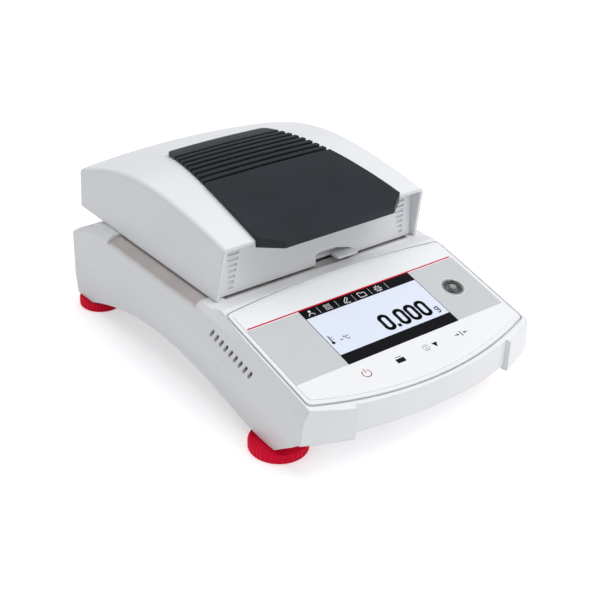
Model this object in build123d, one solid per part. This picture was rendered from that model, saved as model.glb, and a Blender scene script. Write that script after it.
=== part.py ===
"""Halogen moisture analyzer: a balance base, a hinged heating lid and four levelling feet.

Frame: millimetres, +Z up, +Y towards the back, -Y towards the user, +X to the right when seen
from the front. The origin is on the table, under the middle of the bounding box.
"""
import math
import os

from build123d import *

# Overall sizes of the housing and the lid, and how far other lines lie inside its half width
HALF_WIDTH = 104.7
EDGE_INSET = 1.8
PANEL_EDGE_INSET = 5.5
FOOT_LINE_INSET = 5.7
PLATE_INSET = 7.9
LID_INSET = 12.5
DECK_FLAT_INSET = 15.7
DECK_EDGE_INSET = 3.2
DECK_MID_INSET = 20.7
TRAY_INSET = 10.1
BLOCK_INSET = 34.7
FRONT_FOOT_INSET = 17.7
REAR_FOOT_INSET = 18.7
BOARD_INSET = 38.7
SLOT_INSET = 12.2
THROUGH = 20.0
FRONT_Y = -160.0
REAR_Y = 156.0
LID_REAR_Y = 160.0
LID_BOTTOM_Z = 83.0
DECK_Z = 82.4
REAR_BROW_Y = 110.0
REAR_MID_Y = 132.0
REAR_MID_Z = 77.0
REAR_TOP_Z = 60.0
WALL = 2.8
LID_WALL = 2.6

# Clearances between separate pieces
GAP = 0.3
SEAT = 0.1
RUN = 0.05

# Sloping control panel
PANEL_TILT = 13.9
PANEL_Y = -67.6
PANEL_Z = 78.5
PANEL_REAR_Y = -46.0
PANEL_EDGE_X = HALF_WIDTH - PANEL_EDGE_INSET

# Side lines of the housing, as (y, z) points from front to back
EDGE_X = HALF_WIDTH - EDGE_INSET
FOOT_LINE_X = HALF_WIDTH - FOOT_LINE_INSET
UNDERSIDE = [(-108, 8), (-80, 10.5), (-45, 19), (0, 27), (45, 29), (90, 22.5), (134, 8)]
SIDE_Y = [-170, -140, -110, -75, -35, 5, 50, 90, 125, 165]
SIDE_TOP = [53.2, 60.6, 68.0, 76.7, 82.4, 82.4, 82.4, 82.4, 77.6, 57.0]
SIDE_EDGE = [41.0, 50.8, 60.6, 70.3, 78.9, 79.6, 79.6, 79.6, 75.0, 55.0]
SIDE_CREASE = [11.0, 25.5, 37.5, 46.5, 56.6, 63.0, 63.4, 58.0, 48.5, 34.0]
SIDE_FOOT = [3.0, 6.0, 8.0, 11.5, 21.0, 27.5, 29.0, 22.5, 12.0, 4.0]
FRONT_UNDER_Y = -140.0
FRONT_UNDER_Z = 33.0
SIDE_OVER = 1.5

# Front of the housing in plan: a bulged wall between two corner blocks
BLOCK_INNER_X = HALF_WIDTH - BLOCK_INSET
BLOCK_INNER_Y = -155.4
BLOCK_OUTER_Y = -141.0
BULGE_END_Y = -152.2
BULGE_LIFT = 3.0
REAR_CORNER = 10.0

# Control plate, film and display, in the panel's own plane
PLATE_HALF = HALF_WIDTH - PLATE_INSET
PLATE_SIDE_REAR_Y = -49.5
PLATE_REAR_Y = -43.4
PLATE_FRONT_Y = -156.2
PLATE_SIDE_FRONT_Y = -139.2
PLATE_CORNER = 4.0
PLATE_T = 2.4
PLATE_RISE = 0.4
FILM_T = 0.3
FILM_MARGIN = 3.0
GROOVE = 1.1
DISPLAY_W = 99.8
DISPLAY_H = 56.6
DISPLAY_T = 1.6
LCD_W = 108.0
LCD_H = 60.0
LCD_T = 8.0
KEY_Y = -134.0
KEY_X = [-43.7, -14.6, 14.0, 42.6]
KEY_PAD = 16.0
KEY_BOARD_W = 110.0
KEY_BOARD_H = 18.0
KEY_BOARD_T = 1.6

# Bubble level beside the display
LEVEL_FROM_DISPLAY = 21.3
LEVEL_X = DISPLAY_W / 2 + LEVEL_FROM_DISPLAY
LEVEL_Y = -94.1
LEVEL_R = 7.4
LEVEL_RING = 1.5
LEVEL_DEPTH = 9.0
BUBBLE_R = 2.6
BUBBLE_T = 1.0

# Side vents of the base
VENT_COUNT = 9
VENT_FIRST = (-42.2, 68.2)
VENT_LAST = (-86.0, 57.6)
VENT_LENGTH = 7.6
VENT_WIDTH = 2.3
VENT_LEAN = 34.0

# Stainless deck under the lid
PLATE_DECK_T = 1.2
PLATE_DECK_Z = 82.0
PLATE_DECK_FLAT_X = HALF_WIDTH - DECK_FLAT_INSET
PLATE_DECK_EDGE_X = HALF_WIDTH - DECK_EDGE_INSET
PLATE_DECK_EDGE_Z = 78.2
PLATE_DECK_Y0 = -21.0
PLATE_DECK_Y1 = 97.0
PLATE_MID_HALF = HALF_WIDTH - DECK_MID_INSET
PLATE_MID_Y0 = -30.0
PLATE_MID_Y1 = 114.0

# Heating chamber, pan and its carriers
CHAMBER_Y = 45.0
BOWL_R = 60.0
BOWL_FLOOR_R = 56.0
BOWL_FLOOR_Z = 58.0
BOWL_T = 1.0
BOWL_FLANGE_R = 64.0
BOWL_HOLE_R = 9.0
SHIELD_R = 53.5
SHIELD_T = 1.2
SHIELD_H = 9.0
INSULATION_R = 50.0
INSULATION_T = 4.0
PAN_R = 45.0
PAN_RIM_R = 48.0
PAN_Z = 72.4
PAN_H = 7.0
PAN_T = 0.6
SUPPORT_ARM_Z = 70.0
SUPPORT_ARM_W = 5.0
SUPPORT_ARM_T = 2.0
SPINDLE_R = 3.5
HANDLER_R = 48.0
HANDLER_W = 3.2
HANDLER_Z = 76.6
HANDLER_T = 2.0
HANDLE_END_R = 57.6
HANDLE_W = 14.0

# Load cell and its pedestal
CELL_Z = 36.0
CELL_H = 14.0
CELL_W = 30.0
CELL_FRONT_Y = 30.0
CELL_REAR_Y = 104.0
CELL_HOLE_R = 4.2
CELL_PAD = 20.0

# Lid
LID_HALF = HALF_WIDTH - LID_INSET
LID_DRAFT = 0.05
LID_FORM_Z = 70.0
LID_CORNER = 4.0
LID_STATIONS = [
    (-72, 117.8, 0.6), (-37, 124.6, 1.0), (0, 130.6, 1.8), (38, 134.4, 2.4), (72, 134.4, 3.0),
    (104, 129.8, 3.6), (131, 122.2, 4.2), (172, 107.6, 5.0),
]
LID_FRONT_TOP_Y = -37.2
LID_FRONT_FOOT_Y = -30.7
LID_FRONT_TOP_Z = 124.6
LID_REAR_BOW = 3.0
LID_REAR_CORNER = 7.0
LID_FACE_Y = -27.2
LID_FACE_T = 2.6
LID_FLUE_X = 36.0
LID_FLUE_Y0 = 30.0
LID_FLUE_Y1 = 90.0
SLOT_COUNT = 7
SLOT_TOP_Z = 114.0
SLOT_PITCH = 4.3
SLOT_H = 1.8
SLOT_OUTER_X = LID_HALF - SLOT_INSET
SLOT_WIDE = 9.0
SLOT_NARROW = 3.8
GRIP_NOTCH = [(-2.8, 80), (-2.8, 90.8), (0.2, 92.8), (15.5, 92.5), (30.6, 88.1), (33.0, 80)]
GRIP_X0 = 13.5
GRIP_X1 = 31.0
GRIP_Z = 85.6
GRIP_T = 1.9
GRIP_REACH = 6.0

# Black vent cover on the lid
COVER_T = 3.0
COVER_REAR_Y = 103.0
COVER_REAR_HALF = 45.0
COVER_MID_Y = 32.0
COVER_MID_HALF = 57.3
COVER_SIDE_Y = -38.3
COVER_SIDE_HALF = 64.8
NOSE_Y = -50.6
NOSE_HALF = 49.2
NOSE_Z = 120.2
COVER_CORNER = 5.0
RIB_GROOVES = 8
RIB_FIRST_Y = 85.4
RIB_PITCH = 7.1
RIB_GROOVE_W = 3.4
RIB_FLOOR = 0.9
RIB_SLOT_HALF = 33.0

# Lamp unit inside the lid
LINER_Z = 84.5
LINER_T = 2.0
LINER_REAR_Y = 152.0
FINGER_ROOM = 4.0
LINER_HOLE_R = 59.0
GLASS_R = 58.6
GLASS_T = 2.4
RETAINER_T = 1.0
RETAINER_IN_R = 54.0
RETAINER_OUT_R = 65.0
REFLECTOR_TOP_Z = 115.0
REFLECTOR_TOP_R = 50.0
REFLECTOR_FOOT_R = 60.0
REFLECTOR_FLANGE_R = 64.0
REFLECTOR_T = 1.0
LAMP_R = 40.0
LAMP_TUBE_R = 5.0
LAMP_SIDES = 12
LAMP_Z = 103.0
LAMP_HOLDERS = 3
HOLDER_W = 9.0
HOLDER_L = 14.0
SENSOR_R = 2.5
SENSOR_LENGTH = 16.0
SENSOR_HEAD_R = 6.0
SENSOR_HEAD_T = 2.5

# Hinge
HINGE_Y = 145.0
HINGE_Z = 74.0
HINGE_PIN_R = 3.0
KNUCKLE_R = 7.0
BRACKET_X = 52.0
BRACKET_W = 9.0
BRACKET_FOOT_Z = 50.0
BRACKET_HALF_Y = 8.0
ARM_W = 8.0
PIN_END = 1.5
PIN_HEAD_R = 4.6

# Levelling feet
FOOT_FRONT = (HALF_WIDTH - FRONT_FOOT_INSET, -97.3)
FOOT_REAR = (HALF_WIDTH - REAR_FOOT_INSET, 142.6)
FOOT_FRONT_R = 21.2
FOOT_REAR_R = 17.2
FOOT_T = 7.2
FOOT_CHAMFER = 0.8
FOOT_KNURLS = 36
FOOT_KNURL_DEPTH = 0.7
STEM_R = 4.0
STEM_TOP_Z = 24.0
NUT_R = 8.0
NUT_TOP_Z = 20.0

# Bottom tray, boards and rear connectors
TRAY_T = 2.6
TRAY_LIFT = 0.8
TRAY_HALF = HALF_WIDTH - TRAY_INSET
BOARD_T = 1.6
BOARD_Z = 38.0
BOARD_HALF = HALF_WIDTH - BOARD_INSET
BOARD_Y0 = -118.0
BOARD_Y1 = -52.0
POST_R = 3.0
SUPPLY_X0 = -70.0
SUPPLY_X1 = -14.0
SUPPLY_Y0 = 108.0
SUPPLY_Y1 = 146.0
SUPPLY_Z = 32.0
INLET_X = 52.0
INLET_Z = 34.0
INLET_W = 28.0
INLET_H = 20.0
INLET_DEPTH = 24.0
INLET_FLANGE = 3.0
INLET_FLANGE_T = 2.0
SOCKET_W = 22.4
SOCKET_H = 15.6
SOCKET_DEPTH = 17.0
CONTACT_REACH = 12.0
FUSE_H = 8.0
FUSE_DEPTH = 16.0
PORT_Z = 34.0
SERIAL_X = -28.0
USB_B_X = -2.0
USB_A_X = 18.0
BOSS_R = 4.4
SCREW_R = 1.5
SCREW_HEAD_R = 3.0
SCREW_HEAD_T = 2.0
SCREW_LENGTH = 10.0
SCREW_INSET = 16.7
SCREW_FRONT_INSET = 30.7
SCREW_PLACES = [
    (HALF_WIDTH - SCREW_FRONT_INSET, -62), (HALF_WIDTH - SCREW_INSET, 2),
    (HALF_WIDTH - SCREW_INSET, 88), (60, 100),
]


def block(x0, x1, y0, y1, z0, z1):
    """Box between two corners."""
    centre = Pos((x0 + x1) / 2, (y0 + y1) / 2, (z0 + z1) / 2)
    return centre * Box(x1 - x0, y1 - y0, z1 - z0)


def rod(x, y, z0, z1, radius):
    """Upright cylinder."""
    return Pos(x, y, (z0 + z1) / 2) * Cylinder(radius, z1 - z0)


def ring(x, y, z0, z1, outer, inner):
    """Upright tube."""
    return rod(x, y, z0, z1, outer) - rod(x, y, z0 - 1, z1 + 1, inner)


def axle(x0, x1, y, z, radius):
    """Cylinder along X."""
    return Pos((x0 + x1) / 2, y, z) * Rot(0, 90, 0) * Cylinder(radius, x1 - x0)


def mirrored(shape):
    """A shape together with its copy on the other side."""
    return shape + mirror(shape, Plane.YZ)


def turned(profile, x, y):
    """Solid of revolution about an upright axis, from (radius, z) corners."""
    face = make_face(Polyline(*[(r, 0, z) for r, z in profile], close=True))
    return Pos(x, y, 0) * revolve(face, Axis.Z)


def side_solid(half, corners):
    """Outline in the YZ plane, thick from -half to +half."""
    face = make_face(Plane.YZ * Polyline(*corners, close=True))
    return extrude(face, half, both=True)


def panel_z(y):
    """Height of the sloping panel at a depth."""
    return PANEL_Z + (y - PANEL_Y) * math.tan(math.radians(PANEL_TILT))


def panel_v(y):
    """Distance up the panel's slope from its reference line."""
    return (y - PANEL_Y) / math.cos(math.radians(PANEL_TILT))


def panel_plane(lift=0.0):
    """Plane of the control panel: X right, Y up the slope, Z out of it."""
    tilt = math.radians(PANEL_TILT)
    plane = Plane(origin=(0, PANEL_Y, PANEL_Z), x_dir=(1, 0, 0), z_dir=(0, -math.sin(tilt), math.cos(tilt)))
    return plane.offset(lift)


def on_panel(sketch, low, high):
    """Prism on the panel between two heights over its plane."""
    return extrude(panel_plane(low) * sketch, high - low)


def curve_solid(x0, x1, low_points, high_points, z_close):
    """Ruled solid between a curve in the plane x0 and one in x1, closed at the level z_close."""
    faces = []
    for x, points in ((x0, low_points), (x1, high_points)):
        y_first = points[0][0]
        y_last = points[-1][0]
        curve = Spline(*[(x, y, z) for y, z in points])
        rest = Polyline((x, y_last, points[-1][1]), (x, y_last, z_close), (x, y_first, z_close),
                        (x, y_first, points[0][1]))
        faces.append(make_face(curve + rest))
    return loft(faces, ruled=True)


def line_between(low, high, share):
    """Heights on the ruled surface through two side lines, at a share of the way across."""
    return [(y, a + (b - a) * share) for y, a, b in zip(SIDE_Y, low, high)]


def side_cutters(inset):
    """Solids that shape one side: the shoulder, the upper face and the lower face."""
    out = HALF_WIDTH + SIDE_OVER
    top_level = 130.0
    cutters = []
    for x_in, x_out, inner, outer, level in (
        (PANEL_EDGE_X, EDGE_X, SIDE_TOP, SIDE_EDGE, top_level),
        (EDGE_X, HALF_WIDTH, SIDE_EDGE, SIDE_CREASE, top_level),
        (FOOT_LINE_X, HALF_WIDTH, SIDE_FOOT, SIDE_CREASE, -40.0),
    ):
        start = x_in - SIDE_OVER
        span = x_out - x_in
        low = line_between(inner, outer, (start - x_in) / span)
        high = line_between(inner, outer, (out - x_in) / span)
        cutters.append(curve_solid(start - inset, out - inset, low, high, level))
    return cutters


def plan_outline():
    """Housing from above: straight sides, round rear corners, corner blocks and a bulged front."""
    w = HALF_WIDTH
    mid_x = (w + BLOCK_INNER_X) / 2
    mid_y = (BLOCK_OUTER_Y + BLOCK_INNER_Y) / 2 - 0.6
    edges = Polyline((w, BLOCK_OUTER_Y), (w, REAR_Y), (-w, REAR_Y), (-w, BLOCK_OUTER_Y))
    edges += ThreePointArc((-w, BLOCK_OUTER_Y), (-mid_x, mid_y), (-BLOCK_INNER_X, BLOCK_INNER_Y))
    edges += Line((-BLOCK_INNER_X, BLOCK_INNER_Y), (-BLOCK_INNER_X + 1, BULGE_END_Y))
    edges += ThreePointArc((-BLOCK_INNER_X + 1, BULGE_END_Y), (0, FRONT_Y), (BLOCK_INNER_X - 1, BULGE_END_Y))
    edges += Line((BLOCK_INNER_X - 1, BULGE_END_Y), (BLOCK_INNER_X, BLOCK_INNER_Y))
    edges += ThreePointArc((BLOCK_INNER_X, BLOCK_INNER_Y), (mid_x, mid_y), (w, BLOCK_OUTER_Y))
    face = make_face(edges)
    rear = face.vertices().sort_by(Axis.Y)[-2:]
    return fillet(rear, REAR_CORNER)


def cavity_outline(inset):
    """Inside of the housing from above."""
    w = HALF_WIDTH - inset
    front = FRONT_Y + inset
    side_front = BLOCK_OUTER_Y + inset
    edges = Polyline((w, side_front), (w, REAR_Y - inset), (-w, REAR_Y - inset), (-w, side_front))
    edges += ThreePointArc((-w, side_front), (0, front), (w, side_front))
    return make_face(edges)


def top_edges(drop):
    """Top line of the housing in the YZ plane, from front to back."""
    slope = math.tan(math.radians(PANEL_TILT))
    front = (FRONT_Y - 10, panel_z(FRONT_Y - 10) - drop)
    bend = (PANEL_REAR_Y, panel_z(PANEL_REAR_Y) - drop)
    flat = (PANEL_REAR_Y + 12, DECK_Z - drop)
    brow = (REAR_BROW_Y, DECK_Z - drop)
    rear = (REAR_Y + 4, REAR_TOP_Z - drop)
    edges = Line(front, bend)
    edges += Spline(bend, flat, tangents=[(1, slope), (1, 0)])
    edges += Line(flat, brow)
    edges += Spline(brow, (REAR_MID_Y, REAR_MID_Z - drop), rear, tangents=[(1, 0), (1, -0.85)])
    return edges, front, rear


def base_block():
    """Outer body of the base before its sides are shaped."""
    edges, front, rear = top_edges(0.0)
    under_y, under_z = UNDERSIDE[-1]
    first_y, first_z = UNDERSIDE[0]
    edges += Polyline(rear, (rear[0], under_z), (under_y, under_z))
    edges += Spline(*reversed(UNDERSIDE))
    edges += Polyline((first_y, first_z), (FRONT_UNDER_Y, FRONT_UNDER_Z), (front[0], FRONT_UNDER_Z), front)
    face = make_face(Plane.YZ * edges)
    return extrude(face, HALF_WIDTH, both=True) & extrude(plan_outline(), 130.0)


def base_cavity():
    """Inside of the housing, open at the bottom."""
    edges, front, rear = top_edges(WALL)
    edges += Polyline(rear, (rear[0], -5.0), (front[0], -5.0), front)
    face = make_face(Plane.YZ * edges)
    solid = extrude(face, HALF_WIDTH - WALL, both=True)
    solid = solid & Pos(0, 0, -5) * extrude(cavity_outline(WALL), 130.0)
    for cutter in side_cutters(WALL):
        solid = solid - mirrored(cutter)
    return solid - deck_recess(WALL)


def plate_outline(margin):
    """Control plate in the panel's plane."""
    half = PLATE_HALF - margin
    rear = panel_v(PLATE_REAR_Y) - margin
    side_rear = panel_v(PLATE_SIDE_REAR_Y) - margin
    front = panel_v(PLATE_FRONT_Y) + margin
    side_front = panel_v(PLATE_SIDE_FRONT_Y) + margin
    edges = ThreePointArc((-half, side_rear), (0, rear), (half, side_rear))
    edges += Line((half, side_rear), (half, side_front))
    edges += ThreePointArc((half, side_front), (0, front), (-half, side_front))
    edges += Line((-half, side_front), (-half, side_rear))
    face = make_face(edges)
    return fillet(face.vertices(), max(PLATE_CORNER - margin / 2, 1.0))


def display_outline(margin):
    """Display rectangle in the panel's plane."""
    return Pos(0, -DISPLAY_H / 2) * Rectangle(DISPLAY_W + 2 * margin, DISPLAY_H + 2 * margin)


def level_place(lift):
    """Place of the bubble level, seen out of the panel."""
    return panel_plane(lift) * Pos(LEVEL_X, panel_v(LEVEL_Y))


def tray_band(lift, thickness, half):
    """Layer that follows the underside of the housing."""
    under = [(y, z + lift) for y, z in UNDERSIDE]
    end_y = REAR_Y - WALL - GAP
    low = Polyline((FRONT_Y, FRONT_UNDER_Z + lift), (FRONT_UNDER_Y, FRONT_UNDER_Z + lift), under[0])
    low += Spline(*under)
    low += Line(under[-1], (end_y, under[-1][1]))
    upper = [(y, z + thickness) for y, z in under]
    high = Line((end_y, under[-1][1]), (end_y, upper[-1][1]))
    high += Line((end_y, upper[-1][1]), upper[-1])
    high += Spline(*reversed(upper))
    high += Polyline(upper[0], (FRONT_UNDER_Y, FRONT_UNDER_Z + lift + thickness),
                     (FRONT_Y, FRONT_UNDER_Z + lift + thickness), (FRONT_Y, FRONT_UNDER_Z + lift))
    return extrude(make_face(Plane.YZ * (low + high)), half, both=True)


def foot_places():
    """Name, place and pad radius of each foot."""
    return [
        ("foot_front_left", -FOOT_FRONT[0], FOOT_FRONT[1], FOOT_FRONT_R),
        ("foot_front_right", FOOT_FRONT[0], FOOT_FRONT[1], FOOT_FRONT_R),
        ("foot_rear_left", -FOOT_REAR[0], FOOT_REAR[1], FOOT_REAR_R),
        ("foot_rear_right", FOOT_REAR[0], FOOT_REAR[1], FOOT_REAR_R),
    ]


def rear_port(x, z, width, height, margin=0.0):
    """Through-cut for a connector in the rear wall."""
    return block(x - width / 2 - margin, x + width / 2 + margin, REAR_Y - 2 * WALL, REAR_Y + 5,
                 z - height / 2 - margin, z + height / 2 + margin)


def bracket_side(margin):
    """Block of a hinge bracket on the right side, without its round end."""
    x0 = BRACKET_X - BRACKET_W / 2 - margin
    x1 = BRACKET_X + BRACKET_W / 2 + margin
    return block(x0, x1, HINGE_Y - BRACKET_HALF_Y - margin, HINGE_Y + BRACKET_HALF_Y + margin,
                 BRACKET_FOOT_Z, HINGE_Z)


def upper_housing():
    """Moulded top shell: sloping panel, faceted sides, chamber opening and vents."""
    shell = base_block()
    for cutter in side_cutters(0.0):
        shell = shell - mirrored(cutter)
    shell = shell - base_cavity()
    # The middle of the front wall ends a little higher than the corner blocks
    inner = BLOCK_INNER_X - 1
    lift = block(-inner, inner, FRONT_Y - 5, FRONT_UNDER_Y, 0, FRONT_UNDER_Z + BULGE_LIFT)
    shell = shell - lift
    shell = shell - on_panel(plate_outline(-GROOVE), -PLATE_T + PLATE_RISE, THROUGH)
    display_room = Pos(0, -DISPLAY_H / 2) * Rectangle(LCD_W + 2 * GAP, LCD_H + 2 * GAP)
    shell = shell - on_panel(display_room, -THROUGH, THROUGH)
    key_board = Pos(0, panel_v(KEY_Y)) * Rectangle(KEY_BOARD_W + 2 * GAP, KEY_BOARD_H + 2 * GAP)
    shell = shell - on_panel(key_board, -THROUGH, THROUGH)
    shell = shell - level_place(0) * Cylinder(LEVEL_R + LEVEL_RING + GAP, 2 * THROUGH)
    shell = shell - deck_recess()
    shell = shell - rod(0, CHAMBER_Y, 60, 100, BOWL_R + BOWL_T + GAP)
    shell = shell - side_vents()
    shell = shell - mirrored(bracket_side(SEAT))
    knuckle_room = axle(BRACKET_X - BRACKET_W, BRACKET_X + BRACKET_W / 2 + ARM_W + 2 * GAP + PIN_END + 2,
                        HINGE_Y, HINGE_Z, KNUCKLE_R + 1)
    shell = shell - mirrored(knuckle_room)
    shell = shell - rear_cuts(GAP)
    return shell + screw_bosses()


def rear_cuts(margin):
    """Openings of the rear wall for the inlet and the ports."""
    cuts = rear_port(INLET_X, INLET_Z, INLET_W, INLET_H + FUSE_H, margin)
    cuts += rear_port(SERIAL_X, PORT_Z, 19, 10.4, margin)
    cuts += rear_port(USB_B_X, PORT_Z, 12, 11, margin)
    cuts += rear_port(USB_A_X, PORT_Z, 14.4, 7.4, margin)
    return cuts


def side_vents():
    """Leaning vent slots through both sides of the housing."""
    cuts = Part()
    for i in range(VENT_COUNT):
        share = i / (VENT_COUNT - 1)
        y = VENT_FIRST[0] + (VENT_LAST[0] - VENT_FIRST[0]) * share
        z = VENT_FIRST[1] + (VENT_LAST[1] - VENT_FIRST[1]) * share
        outline = RectangleRounded(VENT_WIDTH, VENT_LENGTH, VENT_WIDTH / 2.1)
        slot = Plane.YZ * Pos(y, z) * Rot(0, 0, VENT_LEAN) * outline
        cuts += Pos(HALF_WIDTH - 10, 0, 0) * extrude(slot, 15)
    return mirrored(cuts)


def screw_bosses():
    """Posts inside the housing that take the bottom screws."""
    posts = Part()
    for x, y in SCREW_PLACES:
        posts += rod(x, y, 20, DECK_Z - 1, BOSS_R) - rod(x, y, 0, 45, SCREW_R + RUN)
    posts = posts & base_cavity()
    return mirrored(posts - tray_band(-30, 30 + TRAY_LIFT + TRAY_T + SEAT, HALF_WIDTH))


def lower_housing():
    """Bottom tray that closes the housing and carries the feet."""
    tray = tray_band(TRAY_LIFT, TRAY_T, TRAY_HALF)
    tray = tray & extrude(cavity_outline(WALL + GAP), 130.0)
    for _, x, y, _ in foot_places():
        tray = tray - rod(x, y, 0, 60, STEM_R + GAP)
    for side in (-1, 1):
        for x, y in SCREW_PLACES:
            tray = tray - rod(side * x, y, 0, 60, SCREW_R + RUN)
            tray = tray - rod(side * x, y, 0, tray_z(y) + TRAY_LIFT + 1.2, SCREW_HEAD_R + GAP)
    return tray


def tray_z(y):
    """Height of the housing's underside at a depth, by straight lines between its points."""
    points = UNDERSIDE + [(REAR_Y, UNDERSIDE[-1][1])]
    for (y0, z0), (y1, z1) in zip(points, points[1:]):
        if y0 <= y <= y1:
            return z0 + (z1 - z0) * (y - y0) / (y1 - y0)
    return FRONT_UNDER_Z


def housing_screws():
    """Bottom screws, one set of separate solids."""
    screws = Part()
    for side in (-1, 1):
        for x, y in SCREW_PLACES:
            top = tray_z(y) + TRAY_LIFT + 1.2 - SEAT
            head = rod(side * x, y, top - SCREW_HEAD_T, top, SCREW_HEAD_R)
            screws += head + rod(side * x, y, top - 1, top + SCREW_LENGTH, SCREW_R)
    return screws


def deck_section(drop, reach):
    """Cross-section of the stainless deck's upper face, lowered by drop and reaching out to reach."""
    slope = (PLATE_DECK_Z - PLATE_DECK_EDGE_Z) / (PLATE_DECK_EDGE_X - PLATE_DECK_FLAT_X)
    top = PLATE_DECK_Z - drop
    edge = top - slope * (reach - PLATE_DECK_FLAT_X)
    return [(-reach, edge), (-PLATE_DECK_FLAT_X, top), (PLATE_DECK_FLAT_X, top), (reach, edge)]


def section_plane(y):
    """Plane across the object, seen from the front: X right and Y up."""
    return Plane(origin=(0, y, 0), x_dir=(1, 0, 0), z_dir=(0, -1, 0))


def deck_recess(wall=0.0):
    """Room in the housing for the stainless deck, open at both sides, grown by a wall."""
    reach = HALF_WIDTH + 6
    drop = PLATE_DECK_T + SEAT + wall
    line = deck_section(drop, reach)
    face = make_face(Polyline(*line, (reach, 120), (-reach, 120), close=True))
    margin = GAP + wall
    length = PLATE_DECK_Y1 - PLATE_DECK_Y0 + 2 * margin
    return extrude(section_plane(PLATE_DECK_Y1 + margin) * face, length) + deck_middle(margin, drop, 40.0)


def deck_middle(margin, drop, rise):
    """Flat middle part of the deck, which reaches further to the front and the rear."""
    half = PLATE_MID_HALF + margin
    top = PLATE_DECK_Z
    return block(-half, half, PLATE_MID_Y0 - margin, PLATE_MID_Y1 + margin, top - drop, top + rise)


def chamber_deck():
    """Folded stainless plate under the lid, with a hole for the bowl."""
    top = deck_section(0.0, PLATE_DECK_EDGE_X)
    low = deck_section(PLATE_DECK_T, PLATE_DECK_EDGE_X)
    face = make_face(Polyline(*top, *reversed(low), close=True))
    plate = extrude(section_plane(PLATE_DECK_Y1) * face, PLATE_DECK_Y1 - PLATE_DECK_Y0)
    plate += deck_middle(0.0, PLATE_DECK_T, 0.0)
    return plate - rod(0, CHAMBER_Y, 60, 100, BOWL_FLANGE_R + GAP)


def chamber_bowl():
    """Pressed steel bowl of the heating chamber."""
    flange_z = PLATE_DECK_Z - PLATE_DECK_T
    profile = [
        (BOWL_HOLE_R, BOWL_FLOOR_Z - BOWL_T), (BOWL_FLOOR_R, BOWL_FLOOR_Z - BOWL_T),
        (BOWL_R, flange_z - 14), (BOWL_R, flange_z), (BOWL_FLANGE_R, flange_z),
        (BOWL_FLANGE_R, flange_z + BOWL_T), (BOWL_R - BOWL_T, flange_z + BOWL_T),
        (BOWL_R - BOWL_T, flange_z - 14), (BOWL_FLOOR_R - BOWL_T, BOWL_FLOOR_Z),
        (BOWL_HOLE_R + BOWL_T, BOWL_FLOOR_Z), (BOWL_HOLE_R + BOWL_T, BOWL_FLOOR_Z + 3),
        (BOWL_HOLE_R, BOWL_FLOOR_Z + 3),
    ]
    return turned(profile, 0, CHAMBER_Y)


def draft_shield():
    """Loose ring around the pan, standing on the bowl's floor."""
    low = BOWL_FLOOR_Z + SEAT
    band = ring(0, CHAMBER_Y, low, low + SHIELD_H, SHIELD_R, SHIELD_R - SHIELD_T)
    return band + ring(0, CHAMBER_Y, low, low + SHIELD_T, SHIELD_R, SHIELD_R - 6)


def insulation():
    """Heat barrier between the bowl and the load cell."""
    top = BOWL_FLOOR_Z - BOWL_T - SEAT
    return ring(0, CHAMBER_Y, top - INSULATION_T, top, INSULATION_R, BOWL_HOLE_R + 1)


def pan_support():
    """Spindle on the load cell with three arms that carry the pan."""
    spindle = rod(0, CHAMBER_Y, CELL_Z + CELL_H + SEAT, SUPPORT_ARM_Z + SUPPORT_ARM_T, SPINDLE_R)
    carrier = spindle + rod(0, CHAMBER_Y, SUPPORT_ARM_Z, PAN_Z - SEAT, 12)
    tip = HANDLER_R + HANDLER_W / 2
    for angle in (30, 150, 270):
        half = SUPPORT_ARM_W / 2
        arm = block(0, tip, -half, half, SUPPORT_ARM_Z, SUPPORT_ARM_Z + SUPPORT_ARM_T)
        post = block(PAN_RIM_R - 0.6, tip, -half, half, SUPPORT_ARM_Z, HANDLER_Z - SEAT)
        carrier += Pos(0, CHAMBER_Y, 0) * Rot(0, 0, angle) * (arm + post)
    return carrier


def sample_pan():
    """Shallow aluminium dish."""
    top = PAN_Z + PAN_H
    profile = [
        (0, PAN_Z), (PAN_R - 1, PAN_Z), (PAN_R + 1, top - PAN_T), (PAN_RIM_R, top - PAN_T),
        (PAN_RIM_R, top), (PAN_R + 1 - PAN_T, top), (PAN_R - 1 - PAN_T, PAN_Z + PAN_T), (0, PAN_Z + PAN_T),
    ]
    return turned(profile, 0, CHAMBER_Y)


def pan_handler():
    """Ring with a small handle that lifts the pan out."""
    outer = HANDLER_R + HANDLER_W / 2
    body = ring(0, CHAMBER_Y, HANDLER_Z, HANDLER_Z + HANDLER_T, outer, outer - HANDLER_W)
    front = CHAMBER_Y - HANDLE_END_R
    grip = block(-HANDLE_W / 2, HANDLE_W / 2, front, CHAMBER_Y - outer + 1, HANDLER_Z, HANDLER_Z + HANDLER_T)
    return body + grip


def load_cell():
    """Bending beam with its round flexure holes."""
    beam = block(-CELL_W / 2, CELL_W / 2, CELL_FRONT_Y, CELL_REAR_Y, CELL_Z, CELL_Z + CELL_H)
    middle = (CELL_FRONT_Y + CELL_REAR_Y) / 2
    for y in (middle - 8, middle + 8):
        beam = beam - axle(-CELL_W, CELL_W, y, CELL_Z + CELL_H / 2, CELL_HOLE_R)
    slot = block(-CELL_W, CELL_W, middle - 8, middle + 8, CELL_Z + CELL_H / 2 - 1, CELL_Z + CELL_H / 2 + 1)
    return beam - slot


def cell_pedestal():
    """Cast block that carries the fixed end of the load cell on the tray."""
    low = block(-CELL_W / 2 - 4, CELL_W / 2 + 4, CELL_REAR_Y - CELL_PAD, CELL_REAR_Y + 4, 10, CELL_Z - SEAT)
    return low - tray_band(-30, 30 + TRAY_LIFT + TRAY_T + SEAT, HALF_WIDTH)


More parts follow.
